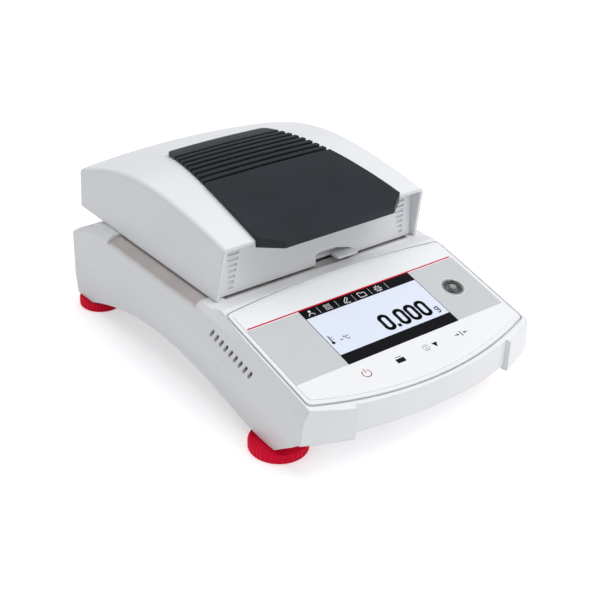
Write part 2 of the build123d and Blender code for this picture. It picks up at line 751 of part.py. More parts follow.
def control_panel():
    """Raised plate on the sloping front, with windows for the display and the level."""
    plate = on_panel(plate_outline(0.0), -PLATE_T + PLATE_RISE + SEAT, PLATE_RISE)
    plate = plate - on_panel(display_outline(GAP), -10, 10)
    return plate - level_place(0) * Cylinder(LEVEL_R + LEVEL_RING + RUN, 40)


def panel_film():
    """Printed film on the control plate."""
    film = on_panel(plate_outline(FILM_MARGIN), PLATE_RISE, PLATE_RISE + FILM_T)
    film = film - on_panel(display_outline(GAP), -10, 10)
    return film - level_place(0) * Cylinder(LEVEL_R + LEVEL_RING + RUN, 40)


def display_glass():
    """Front glass of the display, flush with the film."""
    top = PLATE_RISE + FILM_T
    return on_panel(display_outline(0.0), top - DISPLAY_T, top)


def display_module():
    """Display panel with its metal frame, hung under the control plate."""
    top = PLATE_RISE + FILM_T - DISPLAY_T - SEAT
    glass_seat = on_panel(display_outline(-1.0), -PLATE_T, top)
    frame = Pos(0, -DISPLAY_H / 2) * Rectangle(LCD_W, LCD_H)
    return on_panel(frame, -PLATE_T - LCD_T, -PLATE_T + PLATE_RISE) + glass_seat


def key_board():
    """Touch sensor board under the keys."""
    place = Pos(0, panel_v(KEY_Y))
    low = -PLATE_T + PLATE_RISE - KEY_BOARD_T
    board = on_panel(place * Rectangle(KEY_BOARD_W, KEY_BOARD_H), low, low + KEY_BOARD_T)
    for x in KEY_X:
        pad = Pos(x, panel_v(KEY_Y)) * Rectangle(KEY_PAD, KEY_PAD - 4)
        board += on_panel(pad, low - 1.2, low)
    return board


def level_cup():
    """Cup that holds the bubble level."""
    cup = Cylinder(LEVEL_R + LEVEL_RING, LEVEL_DEPTH, align=(Align.CENTER, Align.CENTER, Align.MAX))
    room = Cylinder(LEVEL_R + RUN, LEVEL_DEPTH - 1, align=(Align.CENTER, Align.CENTER, Align.MAX))
    return level_place(PLATE_RISE + FILM_T) * (cup - room)


def level_vial():
    """Clear vial with a shallow round chamber for the bubble."""
    depth = LEVEL_DEPTH - 1 - SEAT
    vial = Cylinder(LEVEL_R, depth, align=(Align.CENTER, Align.CENTER, Align.MAX))
    chamber = Pos(0, 0, -1) * Cylinder(LEVEL_R - 1.4, 2.4, align=(Align.CENTER, Align.CENTER, Align.MAX))
    return level_place(PLATE_RISE + FILM_T) * (vial - chamber)


def level_bubble():
    """The bubble, just under the vial's lens."""
    hang = (Align.CENTER, Align.CENTER, Align.MAX)
    bubble = Pos(1.2, 0.8, -1 - RUN) * Cylinder(BUBBLE_R, BUBBLE_T, align=hang)
    return level_place(PLATE_RISE + FILM_T) * bubble


def main_board():
    """Main circuit board with its larger components."""
    board = block(-BOARD_HALF, BOARD_HALF, BOARD_Y0, BOARD_Y1, BOARD_Z, BOARD_Z + BOARD_T)
    top = BOARD_Z + BOARD_T
    board += block(-14, 14, -96, -70, top, top + 3)
    board += block(28, 44, -90, -74, top, top + 2.4)
    board += block(12 - BOARD_HALF, 32 - BOARD_HALF, -66, -58, top, top + 7)
    for i in range(4):
        board += rod(BOARD_HALF - 42 + 10 * i, -62, top, top + 9, 3.6)
    return board


def board_posts():
    """Posts between the tray and the main board."""
    posts = Part()
    for x in (-BOARD_HALF + 5, BOARD_HALF - 5):
        for y in (BOARD_Y0 + 12, BOARD_Y1 - 5):
            posts += rod(x, y, 5, BOARD_Z - SEAT, POST_R)
    return posts - tray_band(-30, 30 + TRAY_LIFT + TRAY_T + SEAT, HALF_WIDTH)


def power_supply():
    """Mains supply board with its transformer, on four legs."""
    board = block(SUPPLY_X0, SUPPLY_X1, SUPPLY_Y0, SUPPLY_Y1, SUPPLY_Z, SUPPLY_Z + BOARD_T)
    top = SUPPLY_Z + BOARD_T
    board += block(SUPPLY_X0 + 8, SUPPLY_X0 + 30, SUPPLY_Y0 + 8, SUPPLY_Y0 + 28, top, top + 16)
    board += rod(SUPPLY_X1 - 12, SUPPLY_Y0 + 12, top, top + 18, 7)
    board += block(SUPPLY_X1 - 22, SUPPLY_X1 - 4, SUPPLY_Y1 - 12, SUPPLY_Y1 - 6, top, top + 12)
    legs = Part()
    for x in (SUPPLY_X0 + 4, SUPPLY_X1 - 4):
        for y in (SUPPLY_Y0 + 4, SUPPLY_Y1 - 4):
            legs += rod(x, y, 5, SUPPLY_Z, POST_R)
    return board + (legs - tray_band(-30, 30 + TRAY_LIFT + TRAY_T + SEAT, HALF_WIDTH))


def socket_outline(width, height):
    """Mains socket shape with two cut corners, seen from behind."""
    cut = 4.0
    return Polyline(
        (-width / 2, -height / 2), (width / 2, -height / 2), (width / 2, height / 2 - cut),
        (width / 2 - cut, height / 2), (-width / 2 + cut, height / 2),
        (-width / 2, height / 2 - cut), close=True,
    )


def inlet_z():
    """Middle of the mains socket, over the fuse drawer."""
    return INLET_Z + FUSE_H / 2


def fuse_z():
    """Middle of the fuse drawer."""
    return INLET_Z - INLET_H / 2


def power_inlet():
    """Mains inlet in the rear wall, with a room for the fuse drawer under the socket."""
    height = INLET_H + FUSE_H
    body = block(INLET_X - INLET_W / 2, INLET_X + INLET_W / 2, REAR_Y - INLET_DEPTH, REAR_Y,
                 INLET_Z - height / 2, INLET_Z + height / 2)
    edge = INLET_FLANGE
    body += block(INLET_X - INLET_W / 2 - edge, INLET_X + INLET_W / 2 + edge, REAR_Y + SEAT,
                  REAR_Y + INLET_FLANGE_T, INLET_Z - height / 2 - edge, INLET_Z + height / 2 + edge)
    body += block(INLET_X - INLET_W / 2, INLET_X + INLET_W / 2, REAR_Y - 1, REAR_Y + 1,
                  INLET_Z - height / 2, INLET_Z + height / 2)
    mouth = REAR_Y + INLET_FLANGE_T
    face = section_plane(mouth) * Pos(INLET_X, inlet_z()) * make_face(socket_outline(SOCKET_W, SOCKET_H))
    body = body - extrude(face, -5) - extrude(face, SOCKET_DEPTH)
    return body - fuse_room(GAP)


def fuse_room(margin):
    """Block of the fuse drawer, grown by a margin."""
    mouth = REAR_Y + INLET_FLANGE_T
    half = SOCKET_W / 2
    return block(INLET_X - half - margin, INLET_X + half + margin, mouth - FUSE_DEPTH - margin, mouth + margin,
                 fuse_z() - FUSE_H / 2 + 1 - margin, fuse_z() + FUSE_H / 2 - 1 + margin)


def fuse_drawer():
    """Drawer with the mains fuses, pulled out to the rear."""
    drawer = fuse_room(0.0)
    mouth = REAR_Y + INLET_FLANGE_T
    pull = block(INLET_X - 4, INLET_X + 4, mouth - 2, mouth + 1, fuse_z() - 1.2, fuse_z() + 1.2)
    hollow = block(INLET_X - SOCKET_W / 2 + 2, INLET_X + SOCKET_W / 2 - 2, mouth - FUSE_DEPTH + 2, mouth - 3,
                   fuse_z() - 0.4, fuse_z() + FUSE_H / 2)
    return (drawer - hollow) + pull


def inlet_contacts():
    """Three flat pins inside the mains socket."""
    root = REAR_Y + INLET_FLANGE_T - SOCKET_DEPTH
    pins = Part()
    for x, z in ((-7, -2), (7, -2), (0, 2)):
        cx = INLET_X + x
        cz = inlet_z() + z
        pins += block(cx - 1, cx + 1, root, root + CONTACT_REACH, cz - 2, cz + 2)
    return pins


def serial_port():
    """Nine-pin serial socket."""
    shell = rear_port(SERIAL_X, PORT_Z, 18.4, 9.8) & block(-200, 200, REAR_Y - 5, REAR_Y + 3, 0, 100)
    shell += block(SERIAL_X - 15.4, SERIAL_X + 15.4, REAR_Y + SEAT, REAR_Y + 1.1, PORT_Z - 6.2, PORT_Z + 6.2)
    shell = shell - block(SERIAL_X - 8.2, SERIAL_X + 8.2, REAR_Y - 3, REAR_Y + 5, PORT_Z - 3.9, PORT_Z + 3.9)
    shell += block(SERIAL_X - 7.4, SERIAL_X + 7.4, REAR_Y - 4, REAR_Y + 2, PORT_Z - 3.1, PORT_Z + 3.1)
    for i in range(5):
        shell = shell - Pos(SERIAL_X - 5.4 + 2.7 * i, REAR_Y, PORT_Z + 1.4) * Rot(90, 0, 0) * Cylinder(0.6, 6)
    for i in range(4):
        place = Pos(SERIAL_X - 4.05 + 2.7 * i, REAR_Y, PORT_Z - 1.4)
        shell = shell - place * Rot(90, 0, 0) * Cylinder(0.6, 6)
    return shell


def usb_ports():
    """Square device port and flat host port."""
    device = block(USB_B_X - 6, USB_B_X + 6, REAR_Y - 14, REAR_Y + 0.6, PORT_Z - 5.5, PORT_Z + 5.5)
    device = device - block(USB_B_X - 4.2, USB_B_X + 4.2, REAR_Y - 9, REAR_Y + 2, PORT_Z - 3.8, PORT_Z + 3.8)
    device += block(USB_B_X - 2.8, USB_B_X + 2.8, REAR_Y - 12, REAR_Y - 1, PORT_Z - 1.6, PORT_Z + 1.6)
    host = block(USB_A_X - 7.2, USB_A_X + 7.2, REAR_Y - 14, REAR_Y + 0.6, PORT_Z - 3.7, PORT_Z + 3.7)
    host = host - block(USB_A_X - 6.2, USB_A_X + 6.2, REAR_Y - 9, REAR_Y + 2, PORT_Z - 2.5, PORT_Z + 2.5)
    host += block(USB_A_X - 5.6, USB_A_X + 5.6, REAR_Y - 12, REAR_Y - 1, PORT_Z + 0.4, PORT_Z + 2.0)
    return device + host


def lid_form(grow, ruled=False):
    """Arched body of the lid, grown by an offset on its top and sides."""
    sections = []
    for y, edge, sag in LID_STATIONS:
        top = edge + grow
        half_foot = LID_HALF + LID_DRAFT * (LID_BOTTOM_Z - LID_FORM_Z) + grow
        half_top = LID_HALF - LID_DRAFT * (edge - LID_BOTTOM_Z) + grow
        feet = [(half_foot, LID_FORM_Z), (-half_foot, LID_FORM_Z)]
        outline = Polyline((half_top, top), *feet, (-half_top, top))
        outline += ThreePointArc((-half_top, top), (0, top + sag), (half_top, top))
        face = make_face(outline)
        corners = face.vertices().sort_by(Axis.Y)[-2:]
        sections.append(section_plane(y) * fillet(corners, LID_CORNER + grow))
    return loft(sections, ruled=ruled)


def lid_plan(inset):
    """Lid from above: parallel sides and a bowed rear with round corners."""
    half = LID_HALF + 2 - inset
    rear = LID_REAR_Y - inset
    side = rear - LID_REAR_BOW
    edges = Polyline((half, side), (half, -90), (-half, -90), (-half, side))
    edges += ThreePointArc((-half, side), (0, rear), (half, side))
    face = make_face(edges)
    return fillet(face.vertices().sort_by(Axis.Y)[-2:], LID_REAR_CORNER - inset)


def lid_side():
    """Side view of the lid's outer limits: leaning front edge and flat bottom."""
    lean = (LID_FRONT_TOP_Y - LID_FRONT_FOOT_Y) / (LID_FRONT_TOP_Z - LID_BOTTOM_Z)
    top = 150.0
    front_top = LID_FRONT_FOOT_Y + lean * (top - LID_BOTTOM_Z)
    corners = [(LID_FRONT_FOOT_Y, LID_BOTTOM_Z), (front_top, top), (LID_REAR_Y + 5, top),
               (LID_REAR_Y + 5, LID_BOTTOM_Z)]
    return side_solid(HALF_WIDTH, corners)


def lid_shell():
    """Moulded lid cover, open at the front and the bottom, with a flue under the vent cover."""
    outer = lid_form(0.0) & lid_side() & extrude(lid_plan(0.0), 160.0)
    inner = lid_form(-LID_WALL, ruled=True) & extrude(lid_plan(LID_WALL), 160.0)
    shell = outer - inner
    return shell - block(-LID_FLUE_X, LID_FLUE_X, LID_FLUE_Y0, LID_FLUE_Y1, 110, 150)


def lid_front():
    """Front wall of the lid with vent slots, the grip notch and its lip."""
    room = lid_form(-LID_WALL - SEAT, ruled=True)
    wall = room & block(-100, 100, LID_FACE_Y, LID_FACE_Y + LID_FACE_T, LID_BOTTOM_Z, 140)
    notch = extrude(section_plane(0) * make_face(Polyline(*GRIP_NOTCH, close=True)), 60)
    wall = wall - notch
    for side in (-1, 1):
        for i in range(SLOT_COUNT):
            width = SLOT_WIDE + (SLOT_NARROW - SLOT_WIDE) * i / (SLOT_COUNT - 1)
            z = SLOT_TOP_Z - SLOT_PITCH * i
            x0 = SLOT_OUTER_X - width
            slot = block(x0, SLOT_OUTER_X, LID_FACE_Y - 5, LID_FACE_Y + 5, z - SLOT_H / 2, z + SLOT_H / 2)
            wall = wall - (slot if side > 0 else mirror(slot, Plane.YZ))
    return wall + grip_lip()


def grip_lip():
    """Finger lip of the lid, held by a bridge in the corner of the notch."""
    front = LID_FACE_Y + LID_FACE_T
    lip = block(GRIP_X0, GRIP_X1 + 1, LID_FACE_Y - GRIP_REACH, front, GRIP_Z, GRIP_Z + GRIP_T)
    web = make_face(Polyline((GRIP_X1 - 1, LID_BOTTOM_Z), (GRIP_X1 - 1, 89.5), (34, 89.5), (34, LID_BOTTOM_Z),
                             close=True))
    return lip + extrude(section_plane(front) * web, LID_FACE_T)


def cover_outline():
    """Vent cover from above, without its nose."""
    left = [(-COVER_SIDE_HALF, COVER_SIDE_Y), (-COVER_MID_HALF, COVER_MID_Y),
            (-COVER_REAR_HALF, COVER_REAR_Y)]
    right = [(-x, y) for x, y in reversed(left)]
    edges = ThreePointArc(*left)
    edges += Line(left[-1], right[0])
    edges += ThreePointArc(*right)
    edges += Polyline(right[-1], (NOSE_HALF, NOSE_Y), (-NOSE_HALF, NOSE_Y), left[0])
    face = make_face(edges)
    return fillet(face.vertices().sort_by(Axis.Y)[-2:], COVER_CORNER)


def vent_cover():
    """Black cover: a ribbed, slotted plate on the lid's crown with a nose over its front edge."""
    plan = extrude(cover_outline(), 160.0)
    skin = lid_form(COVER_T) & plan
    rest = skin & block(-100, 100, LID_FRONT_TOP_Y - 1, 120, 60, 160)
    plate = rest - lid_form(SEAT)
    floor = lid_form(RIB_FLOOR)
    grooves = Part()
    slots = Part()
    for i in range(RIB_GROOVES):
        y = RIB_FIRST_Y - i * RIB_PITCH
        grooves += block(-80, 80, y - RIB_GROOVE_W / 2, y + RIB_GROOVE_W / 2, 100, 150)
        slots += block(-RIB_SLOT_HALF, RIB_SLOT_HALF, y - RIB_GROOVE_W / 2, y + RIB_GROOVE_W / 2, 100, 150)
    plate = plate - (grooves - floor) - slots
    nose = skin & block(-100, 100, NOSE_Y - 5, LID_FRONT_TOP_Y - GAP, NOSE_Z, 150)
    return plate + nose


def lid_liner():
    """Inner floor of the lid with the lamp opening."""
    side = LID_HALF - LID_WALL - 2 * GAP
    front = LID_FACE_Y + LID_FACE_T + GAP
    plate = block(-side, side, front, LINER_REAR_Y, LINER_Z, LINER_Z + LINER_T)
    plate = plate - block(GRIP_NOTCH[0][0], GRIP_NOTCH[-1][0], front - 1, front + FINGER_ROOM, 60, 100)
    return plate - rod(0, CHAMBER_Y, 60, 100, LINER_HOLE_R)


def lamp_glass():
    """Protective glass under the lamp."""
    low = LINER_Z + SEAT
    return rod(0, CHAMBER_Y, low, low + GLASS_T, GLASS_R)


def glass_retainer():
    """Ring under the liner that holds the glass."""
    return ring(0, CHAMBER_Y, LINER_Z - RETAINER_T, LINER_Z, RETAINER_OUT_R, RETAINER_IN_R)


def reflector():
    """Flat-topped reflector over the lamp."""
    foot = LINER_Z + LINER_T
    top = REFLECTOR_TOP_Z
    t = REFLECTOR_T
    profile = [
        (REFLECTOR_FOOT_R, foot), (REFLECTOR_FLANGE_R, foot), (REFLECTOR_FLANGE_R, foot + t),
        (REFLECTOR_FOOT_R + t, foot + t), (REFLECTOR_TOP_R + t, top), (SENSOR_R + GAP, top),
        (SENSOR_R + GAP, top - t), (REFLECTOR_TOP_R, top - t),
    ]
    return turned(profile, 0, CHAMBER_Y)


def halogen_lamp():
    """Ring-shaped lamp."""
    return lamp_ring(LAMP_TUBE_R)


def lamp_ring(tube_r):
    """Ring with a many-sided section."""
    steps = [2 * math.pi * (i + 0.5) / LAMP_SIDES for i in range(LAMP_SIDES)]
    profile = [(LAMP_R + tube_r * math.cos(a), LAMP_Z + tube_r * math.sin(a)) for a in steps]
    return turned(profile, 0, CHAMBER_Y)


def lamp_holders():
    """Ceramic holders between the reflector and the lamp."""
    seat = lamp_ring(LAMP_TUBE_R + RUN)
    holders = Part()
    top = REFLECTOR_TOP_Z - REFLECTOR_T
    for i in range(LAMP_HOLDERS):
        wide, long = HOLDER_W / 2, HOLDER_L / 2
        piece = block(LAMP_R - wide, LAMP_R + wide, -long, long, LAMP_Z + 1, top)
        holders += Pos(0, CHAMBER_Y, 0) * Rot(0, 0, 90 + 360 * i / LAMP_HOLDERS) * piece
    return holders - seat


def temperature_sensor():
    """Sensor pin in the middle of the reflector."""
    head = rod(0, CHAMBER_Y, REFLECTOR_TOP_Z, REFLECTOR_TOP_Z + SENSOR_HEAD_T, SENSOR_HEAD_R)
    return head + rod(0, CHAMBER_Y, REFLECTOR_TOP_Z - SENSOR_LENGTH, REFLECTOR_TOP_Z + 1, SENSOR_R)


def hinge_brackets():
    """Steel brackets that rise out of the housing and carry the hinge pins."""
    knuckle = axle(BRACKET_X - BRACKET_W / 2, BRACKET_X + BRACKET_W / 2, HINGE_Y, HINGE_Z, KNUCKLE_R)
    bracket = bracket_side(0.0) + knuckle
    return mirrored(bracket - axle(0, HALF_WIDTH, HINGE_Y, HINGE_Z, HINGE_PIN_R + RUN))


def arm_x():
    """Inner side of the right lid arm."""
    return BRACKET_X + BRACKET_W / 2 + GAP


def lid_arms():
    """Arms under the lid's liner that turn on the hinge pins."""
    x0 = arm_x()
    x1 = x0 + ARM_W
    arm = axle(x0, x1, HINGE_Y, HINGE_Z, KNUCKLE_R)
    arm += block(x0, x1, HINGE_Y - KNUCKLE_R, HINGE_Y + KNUCKLE_R, HINGE_Z, LINER_Z)
    arm = arm - axle(0, 100, HINGE_Y, HINGE_Z, HINGE_PIN_R + RUN)
    return mirrored(arm)


def hinge_pins():
    """Headed pins, fixed in the brackets."""
    x0 = BRACKET_X - BRACKET_W / 2
    x1 = arm_x() + ARM_W + GAP
    shaft = axle(x0, x1 + PIN_END, HINGE_Y, HINGE_Z, HINGE_PIN_R)
    head = axle(x1, x1 + PIN_END, HINGE_Y, HINGE_Z, PIN_HEAD_R)
    return mirrored(shaft + head)


def knurl_outline(radius):
    """Toothed outline of a foot's pad."""
    corners = []
    for i in range(2 * FOOT_KNURLS):
        angle = math.pi * i / FOOT_KNURLS
        reach = radius - (FOOT_KNURL_DEPTH if i % 2 else 0.0)
        corners.append((reach * math.cos(angle), reach * math.sin(angle)))
    return make_face(Polyline(*corners, close=True))


def foot(x, y, radius):
    """Knurled pad with chamfered ends on a threaded stem."""
    c = FOOT_CHAMFER
    limits = [(0, 0), (radius - c, 0), (radius, c), (radius, FOOT_T - c), (radius - c, FOOT_T), (0, FOOT_T)]
    pad = extrude(knurl_outline(radius), FOOT_T) & turned(limits, 0, 0)
    stem = rod(0, 0, FOOT_CHAMFER, STEM_TOP_Z, STEM_R - RUN)
    return Pos(x, y, 0) * (pad + stem)


def foot_nuts():
    """Threaded bushes in the tray, one for each foot."""
    nuts = Part()
    for _, x, y, _ in foot_places():
        nuts += rod(x, y, 5, NUT_TOP_Z, NUT_R)
    nuts = nuts - tray_band(-30, 30 + TRAY_LIFT + TRAY_T + SEAT, HALF_WIDTH)
    for _, x, y, _ in foot_places():
        nuts = nuts - rod(x, y, 0, 60, STEM_R)
    return nuts


def main():
    """Build every piece and write one file for each."""
    os.makedirs("parts", exist_ok=True)
    pieces = {
        "upper_housing": upper_housing(),
        "lower_housing": lower_housing(),
        "housing_screws": housing_screws(),
        "chamber_deck": chamber_deck(),
        "chamber_bowl": chamber_bowl(),
        "draft_shield": draft_shield(),
        "chamber_insulation": insulation(),
        "pan_support": pan_support(),
        "sample_pan": sample_pan(),
        "pan_handler": pan_handler(),
        "load_cell": load_cell(),
        "load_cell_pedestal": cell_pedestal(),
        "control_panel": control_panel(),
        "panel_film": panel_film(),
        "display_glass": display_glass(),
        "display_module": display_module(),
        "touch_key_board": key_board(),
        "level_cup": level_cup(),
        "level_vial": level_vial(),
        "level_bubble": level_bubble(),
        "main_board": main_board(),
        "board_posts": board_posts(),
        "power_supply": power_supply(),
        "power_inlet": power_inlet(),
        "inlet_contacts": inlet_contacts(),
        "fuse_drawer": fuse_drawer(),
        "serial_port": serial_port(),
        "usb_ports": usb_ports(),
        "lid_shell": lid_shell(),
        "lid_front": lid_front(),
        "vent_cover": vent_cover(),
        "lid_liner": lid_liner(),
        "lamp_glass": lamp_glass(),
        "glass_retainer": glass_retainer(),
        "reflector": reflector(),
        "halogen_lamp": halogen_lamp(),
        "lamp_holders": lamp_holders(),
        "temperature_sensor": temperature_sensor(),
        "lid_hinge_arms": lid_arms(),
        "hinge_brackets": hinge_brackets(),
        "hinge_pins": hinge_pins(),
        "foot_nuts": foot_nuts(),
    }
    for name, x, y, radius in foot_places():
        pieces[name] = foot(x, y, radius)
    for name, shape in pieces.items():
        export_step(shape, os.path.join("parts", name + ".step"))


main()
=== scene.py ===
"""Looks of the moisture analyzer: materials, printed panel, small pieces, lights and camera."""
import math

import bmesh
import bpy
from mathutils import Matrix, Vector


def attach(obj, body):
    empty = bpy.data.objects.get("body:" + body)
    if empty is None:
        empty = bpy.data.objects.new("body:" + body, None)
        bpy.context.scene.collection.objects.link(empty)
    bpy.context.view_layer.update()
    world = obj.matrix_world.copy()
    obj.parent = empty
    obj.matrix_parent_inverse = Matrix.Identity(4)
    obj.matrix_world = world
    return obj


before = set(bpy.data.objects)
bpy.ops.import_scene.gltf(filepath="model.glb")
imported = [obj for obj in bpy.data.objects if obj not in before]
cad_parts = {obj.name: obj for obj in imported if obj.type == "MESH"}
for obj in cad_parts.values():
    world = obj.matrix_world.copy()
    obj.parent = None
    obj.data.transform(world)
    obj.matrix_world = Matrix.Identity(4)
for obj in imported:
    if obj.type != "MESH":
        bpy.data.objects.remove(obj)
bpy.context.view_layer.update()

MM = 0.001

# The sloping panel, as in the solids, and the printed places on it in millimetres
PANEL_TILT = math.radians(13.9)
PANEL_Y = -67.6
PANEL_Z = 78.5
FILM_TOP = 0.7
PRINT_T = 0.05
PLATE_HALF = 93.8
LINE_HALF = 92.5
DISPLAY_HALF = 49.9
DISPLAY_BOTTOM = -56.6
HEADER_BOTTOM = -8.9
FOOTER_TOP = -47.2
LEVEL_X = 71.2
LEVEL_V = -27.3
LEVEL_HOLE_R = 8.96
KEY_V = -68.6

# Camera, solved from the photograph
CAMERA_PLACE = (-0.503907, -0.630490, 0.498152)
CAMERA_FORWARD = Vector((0.547045, 0.676565, -0.492952))
CAMERA_UP = Vector((0.280964, 0.406321, 0.869461))
CAMERA_LENS = 73.593

LAMP_R = 40.0
LAMP_Y = 45.0
LAMP_Z = 103.0

# Behind the rear corners of the housing
BACKING_W = 2.0
BACKING_T = 0.6
BACKING_X = 101.62
BACKING_Y = 152.62
BACKING_Z0 = 32.0
BACKING_Z1 = 48.0

# Keys along the panel's front edge, by their place across it
POWER_KEY_X = -44.4
PRINT_KEY_X = -14.9
INFO_KEY_X = 9.3
ARROW_KEY_X = 17.8
TARE_KEY_X = 42.3
DIGIT_PLACES = (0.6, 14.6, 24.6, 34.6)
DIGIT_V = -42.2
BAND_TOP = -0.9
LEVEL_SQUARE = 12.0

# Behind the lid's front wall
BAFFLE_LEFTS = (-81.5, 69.5)
BAFFLE_W = 12.0
BAFFLE_LOW_Z = 86.8
BAFFLE_HIGH_Z = 116.2
WALL_BACK_Y = -24.6
BAFFLE_T = 0.5
SLOT_COUNT = 7
SLOT_TOP_Z = 114.0
SLOT_PITCH = 4.3
SLOT_FILL_H = 1.7
SLOT_FILL_Y = -26.4
SLOT_OUTER_X = 80.0
SLOT_WIDE = 9.0
SLOT_NARROW = 3.8
SLOT_ROOM = 0.05
POCKET_T = 0.5
NOTCH_LEFT = -2.9
NOTCH_RIGHT = 30.4
NOTCH_BACK_Y = -20.2
NOTCH_TOP_Z = 93.0
LINER_TOP = 86.6
POCKET_SKIRT_Y = -20.46
POCKET_SKIRT_T = 0.13
POCKET_SKIRT_Z = 83.2


# Materials
def new_material(name):
    """Empty node material with its shader."""
    material = bpy.data.materials.new(name)
    material.use_nodes = True
    return material, material.node_tree.nodes, material.node_tree.links


def surface(name, color, rough=0.4, metallic=0.0, grain=1800.0, bump=0.12, depth=0.00006, vary=0.03,
            rough_vary=0.08, edge=0.0007, stretch=(1, 1, 1), specular=0.5, coat=0.0, edge_highlight=0.0):
    """Plastic, paint or metal with fine grain, slight cloudiness, soft edges and painted highlights on
    convex corners.
    """
    material, nodes, links = new_material(name)
    shader = nodes["Principled BSDF"]
    shader.inputs["Metallic"].default_value = metallic
    shader.inputs["Specular IOR Level"].default_value = specular
    shader.inputs["Coat Weight"].default_value = coat
    place = nodes.new("ShaderNodeTexCoord")
    scale = nodes.new("ShaderNodeMapping")
    scale.inputs["Scale"].default_value = stretch
    links.new(place.outputs["Object"], scale.inputs["Vector"])
    fine = nodes.new("ShaderNodeTexNoise")
    fine.inputs["Scale"].default_value = grain
    fine.inputs["Detail"].default_value = 3.0
    links.new(scale.outputs["Vector"], fine.inputs["Vector"])
    broad = nodes.new("ShaderNodeTexNoise")
    broad.inputs["Scale"].default_value = 26.0
    broad.inputs["Detail"].default_value = 4.0
    links.new(place.outputs["Object"], broad.inputs["Vector"])
    # Colour: the base tone, a little darker or lighter in broad clouds
    ramp = nodes.new("ShaderNodeMapRange")
    ramp.inputs["From Min"].default_value = 0.3
    ramp.inputs["From Max"].default_value = 0.7
    ramp.inputs["To Min"].default_value = 1.0 - vary
    ramp.inputs["To Max"].default_value = 1.0 + vary * 0.5
    links.new(broad.outputs["Fac"], ramp.inputs["Value"])
    tone = nodes.new("ShaderNodeVectorMath")
    tone.operation = "SCALE"
    tone.inputs[0].default_value = color
    links.new(ramp.outputs["Result"], tone.inputs["Scale"])
    colour = tone.outputs["Vector"]
    # Painted highlight: convex corners, found by their pointiness, are lightened towards a paler copy of the
    # colour
    if edge_highlight:
        corner = nodes.new("ShaderNodeNewGeometry")
        highlight_mask = nodes.new("ShaderNodeMapRange")
        highlight_mask.inputs["From Min"].default_value = 0.52
        highlight_mask.inputs["From Max"].default_value = 0.62
        highlight_mask.inputs["To Max"].default_value = edge_highlight
        links.new(corner.outputs["Pointiness"], highlight_mask.inputs["Value"])
        mix = nodes.new("ShaderNodeMix")
        mix.data_type = "RGBA"
        mix.inputs["B"].default_value = (*[min(1.0, c * 1.5 + 0.05) for c in color], 1)
        links.new(highlight_mask.outputs["Result"], mix.inputs["Factor"])
        links.new(colour, mix.inputs["A"])
        colour = mix.outputs["Result"]
    links.new(colour, shader.inputs["Base Color"])
    gloss = nodes.new("ShaderNodeMapRange")
    gloss.inputs["To Min"].default_value = max(0.02, rough - rough_vary)
    gloss.inputs["To Max"].default_value = min(1.0, rough + rough_vary)
    links.new(fine.outputs["Fac"], gloss.inputs["Value"])
    links.new(gloss.outputs["Result"], shader.inputs["Roughness"])
    soft = nodes.new("ShaderNodeBevel")
    soft.samples = 4
    soft.inputs["Radius"].default_value = edge
    relief = nodes.new("ShaderNodeBump")
    relief.inputs["Strength"].default_value = bump
    relief.inputs["Distance"].default_value = depth
    links.new(fine.outputs["Fac"], relief.inputs["Height"])
    links.new(soft.outputs["Normal"], relief.inputs["Normal"])
    links.new(relief.outputs["Normal"], shader.inputs["Normal"])
    return material


def clear_material(name, color, rough=0.02, ior=1.5):
    """Clear glass with faint smears."""
    material, nodes, links = new_material(name)
    shader = nodes["Principled BSDF"]
    shader.inputs["Base Color"].default_value = (*color, 1)
    shader.inputs["Transmission Weight"].default_value = 1.0
    shader.inputs["IOR"].default_value = ior
    place = nodes.new("ShaderNodeTexCoord")
    smear = nodes.new("ShaderNodeTexNoise")
    smear.inputs["Scale"].default_value = 60.0
    links.new(place.outputs["Object"], smear.inputs["Vector"])
    gloss = nodes.new("ShaderNodeMapRange")
    gloss.inputs["To Min"].default_value = rough
    gloss.inputs["To Max"].default_value = rough + 0.05
    links.new(smear.outputs["Fac"], gloss.inputs["Value"])
    links.new(gloss.outputs["Result"], shader.inputs["Roughness"])
    return material


WHITE = surface("white_moulded_plastic", (0.775, 0.785, 0.802), 0.42, grain=2600, bump=0.10, vary=0.02,
                edge=0.0009)
WHITE_LID = surface("white_lid_plastic", (0.765, 0.778, 0.798), 0.40, grain=2600, bump=0.10, vary=0.02,
                    edge=0.0011)
COVER = surface("charcoal_plastic", (0.012, 0.017, 0.022), 0.42, grain=2200, bump=0.35, depth=0.00012,
                vary=0.18,
                edge=0.0012, specular=0.22, edge_highlight=0.06)
FILM = surface("satin_panel_film", (0.80, 0.81, 0.828), 0.30, grain=3600, bump=0.06, vary=0.01, edge=0.0003)
SCREEN = surface("dark_display_glass", (0.004, 0.004, 0.006), 0.22, grain=300, bump=0.0, vary=0.05,
                 rough_vary=0.03,
                 edge=0.0002, specular=0.12)
STEEL = surface("brushed_stainless", (0.72, 0.665, 0.645), 0.34, 1.0, grain=900, bump=0.25, vary=0.08,
                stretch=(1, 0.04, 0.04), edge=0.0004)
PLAIN_STEEL = surface("plain_steel", (0.45, 0.45, 0.46), 0.36, 1.0, grain=1400, bump=0.15, vary=0.1,
                      edge=0.0003)
BRIGHT = surface("bright_aluminium", (0.80, 0.80, 0.81), 0.22, 1.0, grain=500, bump=0.15, vary=0.06,
                 stretch=(1, 1, 0.1), edge=0.0003)
FOOT = surface("crimson_plastic", (0.84, 0.001, 0.036), 0.46, grain=1700, bump=0.2, vary=0.10, edge=0.0002,
               specular=0.12, edge_highlight=0.04)
DARK = surface("black_fine_plastic", (0.018, 0.018, 0.020), 0.45, grain=2400, bump=0.3, vary=0.15,
               edge=0.0003)
BOARD = surface("green_board", (0.012, 0.10, 0.045), 0.35, grain=500, bump=0.4, depth=0.0001, vary=0.35,
                edge=0.0001)
CERAMIC = surface("white_ceramic", (0.62, 0.59, 0.52), 0.6, grain=1600, bump=0.4, vary=0.10, edge=0.0004)
